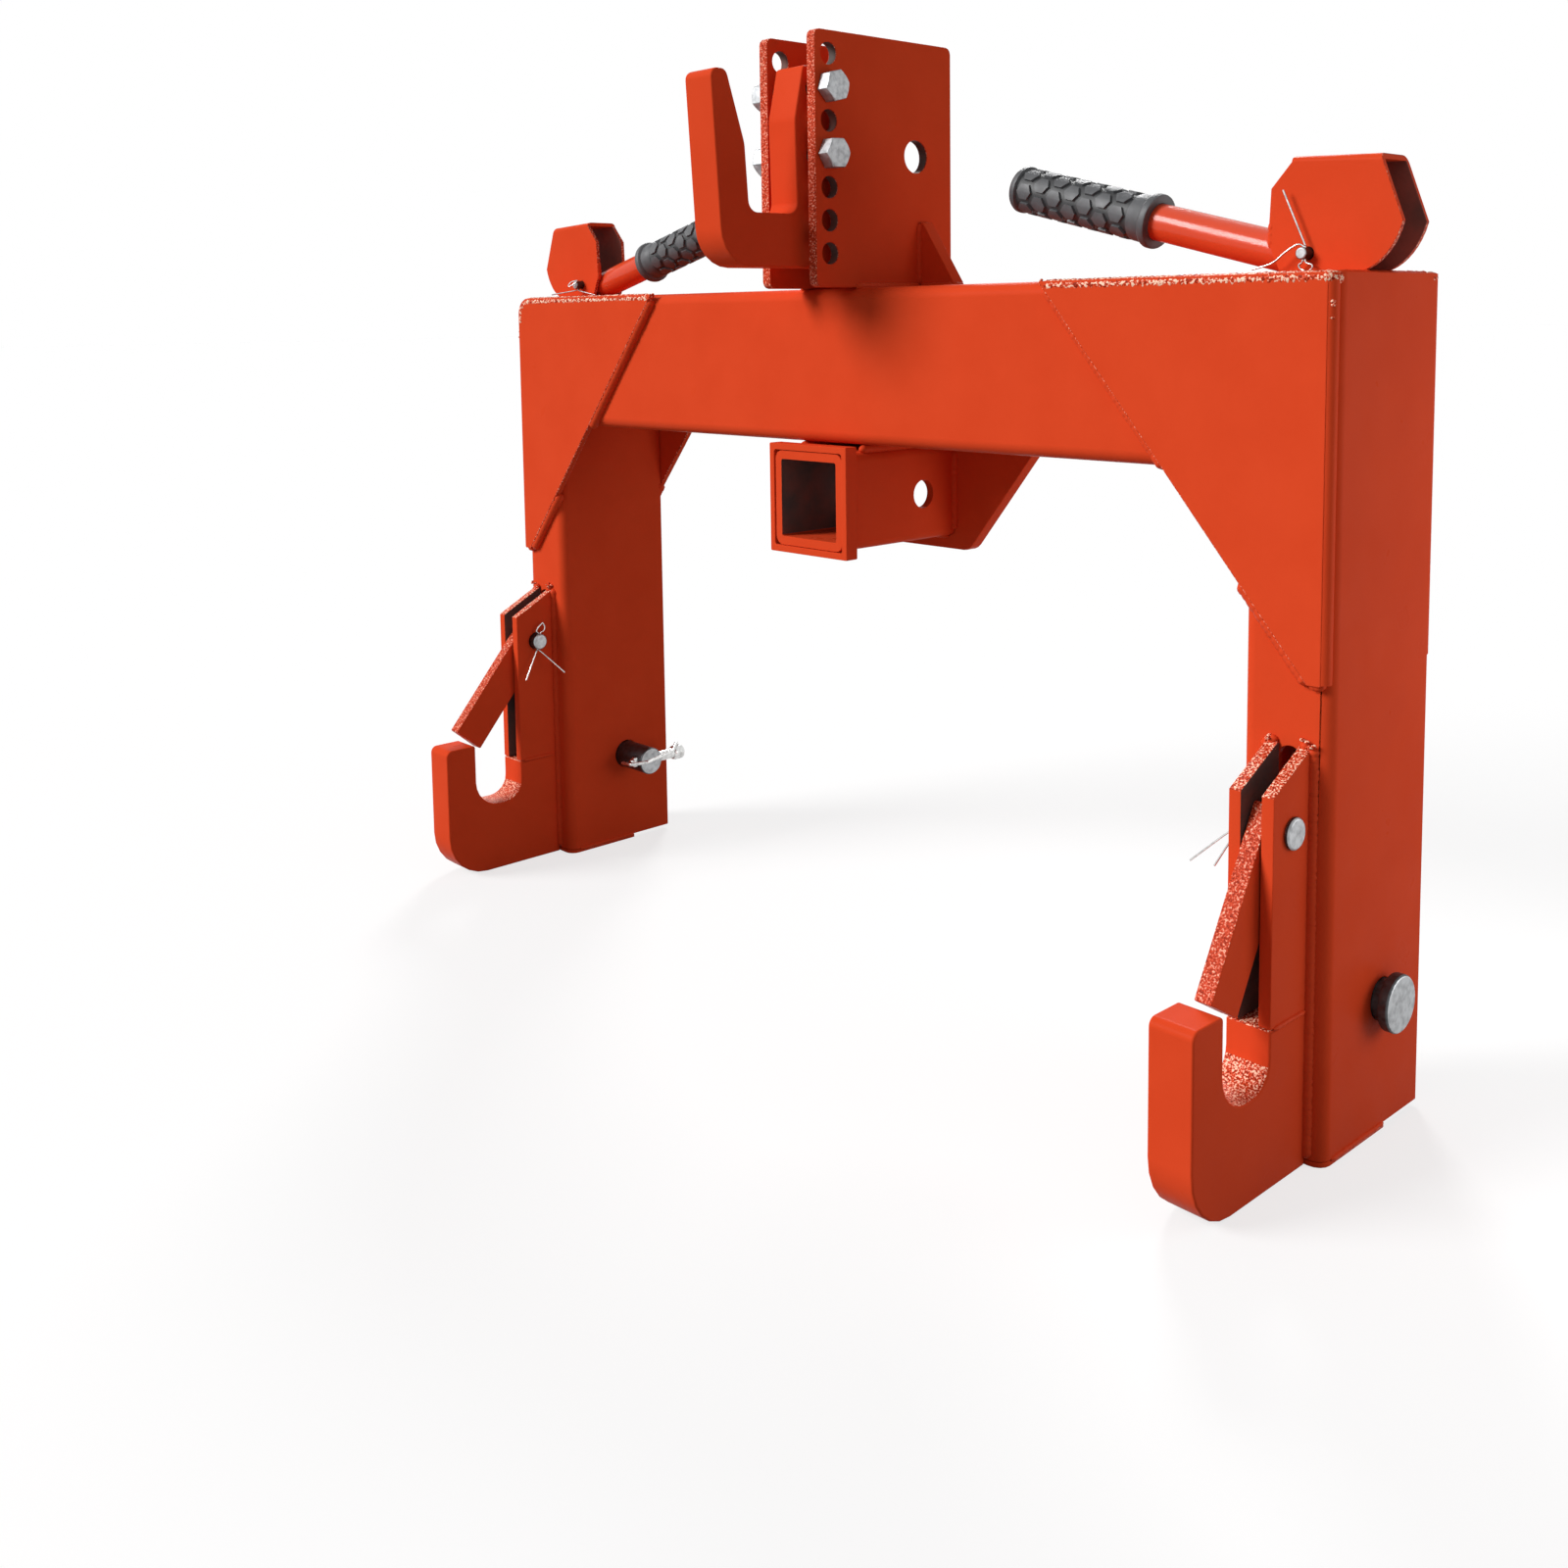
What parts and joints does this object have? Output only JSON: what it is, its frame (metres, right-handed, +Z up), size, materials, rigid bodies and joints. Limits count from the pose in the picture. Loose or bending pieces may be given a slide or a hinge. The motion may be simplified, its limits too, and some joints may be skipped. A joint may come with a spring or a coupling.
{
  "type": "three point receiver hitch",
  "caption": "Three point hitch frame with a receiver tube, a drilled mast with a bolted top hook, and lower hooks closed by latches that cam levers lift.",
  "frame": {"origin": "on the floor under the middle of the object's box", "axes": "+X along the cross beam, -Y towards the implement that hangs in the hooks, +Z up"},
  "size_m": [0.752, 0.2108, 0.6198],
  "materials": {
    "paint": "glossy powder coat",
    "zinc": "zinc plated",
    "dark_steel": "dark oxide",
    "bright_steel": "bright zinc",
    "rubber": "matt"
  },
  "bodies": {
    "frame": {"cross_beam": "paint", "foot_plate_left": "paint", "foot_plate_right": "paint", "gusset_front_left": "paint", "gusset_front_right": "paint", "gusset_rear_left": "paint", "gusset_rear_right": "paint", "hook_bolt_lower": "zinc", "hook_bolt_upper": "zinc", "hook_nut_lower": "zinc", "hook_nut_upper": "zinc", "latch_cheek_inner_left": "paint", "latch_cheek_inner_right": "paint", "latch_cheek_outer_left": "paint", "latch_cheek_outer_right": "paint", "latch_cotter_left": "zinc", "latch_cotter_right": "zinc", "latch_pin_left": "zinc", "latch_pin_right": "zinc", "leg_left": "paint", "leg_right": "paint", "link_pin_left": "dark_steel", "link_pin_right": "dark_steel", "lower_hook_left": "paint", "lower_hook_right": "paint", "lynch_pin_left": "bright_steel", "lynch_pin_right": "bright_steel", "mast_plate_left": "paint", "mast_plate_right": "paint", "mast_rib_left": "paint", "mast_rib_right": "paint", "receiver_collar": "paint", "receiver_support": "paint", "receiver_tube": "paint", "top_hook": "paint"},
    "rod_left": {"lift_rod_left": "zinc"},
    "lever_left": {"lever_bracket_left": "paint", "handle_tube_left": "paint", "grip_left": "rubber", "lever_pin_left": "zinc", "lever_cotter_left": "zinc"},
    "latch_left": {"latch_left": "paint"},
    "bail_left": {"lynch_bail_left": "bright_steel"},
    "rod_right": {"lift_rod_right": "zinc"},
    "lever_right": {"lever_bracket_right": "paint", "handle_tube_right": "paint", "grip_right": "rubber", "lever_pin_right": "zinc", "lever_cotter_right": "zinc"},
    "latch_right": {"latch_right": "paint"},
    "bail_right": {"lynch_bail_right": "bright_steel"}
  },
  "joints": [
    {"name": "rod_left_slide", "type": "slide", "parent": "frame", "child": "rod_left", "axis": [0, 0, 1], "range_m": [0, 0.0424]},
    {"name": "lever_left_swing", "type": "hinge", "parent": "rod_left", "child": "lever_left", "pos_m": [-0.325, 0.04755, 0.47], "axis": [0, -1, 0], "range_deg": [0, 90]},
    {"name": "latch_left_swing", "type": "hinge", "parent": "frame", "child": "latch_left", "pos_m": [-0.34, -0.01945, 0.181], "axis": [1, 0, 0], "range_deg": [0, 35.12]},
    {"name": "bail_left_swing", "type": "hinge", "parent": "frame", "child": "bail_left", "pos_m": [-0.285, 0.09055, 0.0745], "axis": [0, 0, 1], "range_deg": [0, 110]},
    {"name": "rod_right_slide", "type": "slide", "parent": "frame", "child": "rod_right", "axis": [0, 0, 1], "range_m": [0, 0.0424]},
    {"name": "lever_right_swing", "type": "hinge", "parent": "rod_right", "child": "lever_right", "pos_m": [0.325, 0.04755, 0.47], "axis": [0, 1, 0], "range_deg": [0, 90]},
    {"name": "latch_right_swing", "type": "hinge", "parent": "frame", "child": "latch_right", "pos_m": [0.34, -0.01945, 0.181], "axis": [1, 0, 0], "range_deg": [0, 35.12]},
    {"name": "bail_right_swing", "type": "hinge", "parent": "frame", "child": "bail_right", "pos_m": [0.285, 0.09055, 0.0745], "axis": [0, 0, -1], "range_deg": [0, 110]}
  ],
  "couplings": [
    {"joint": "rod_left_slide", "follows": "lever_left_swing", "m_per_rad": 0.026992},
    {"joint": "latch_left_swing", "follows": "lever_left_swing", "ratio": 0.39018},
    {"joint": "rod_right_slide", "follows": "lever_right_swing", "m_per_rad": 0.026992},
    {"joint": "latch_right_swing", "follows": "lever_right_swing", "ratio": 0.39018}
  ]
}
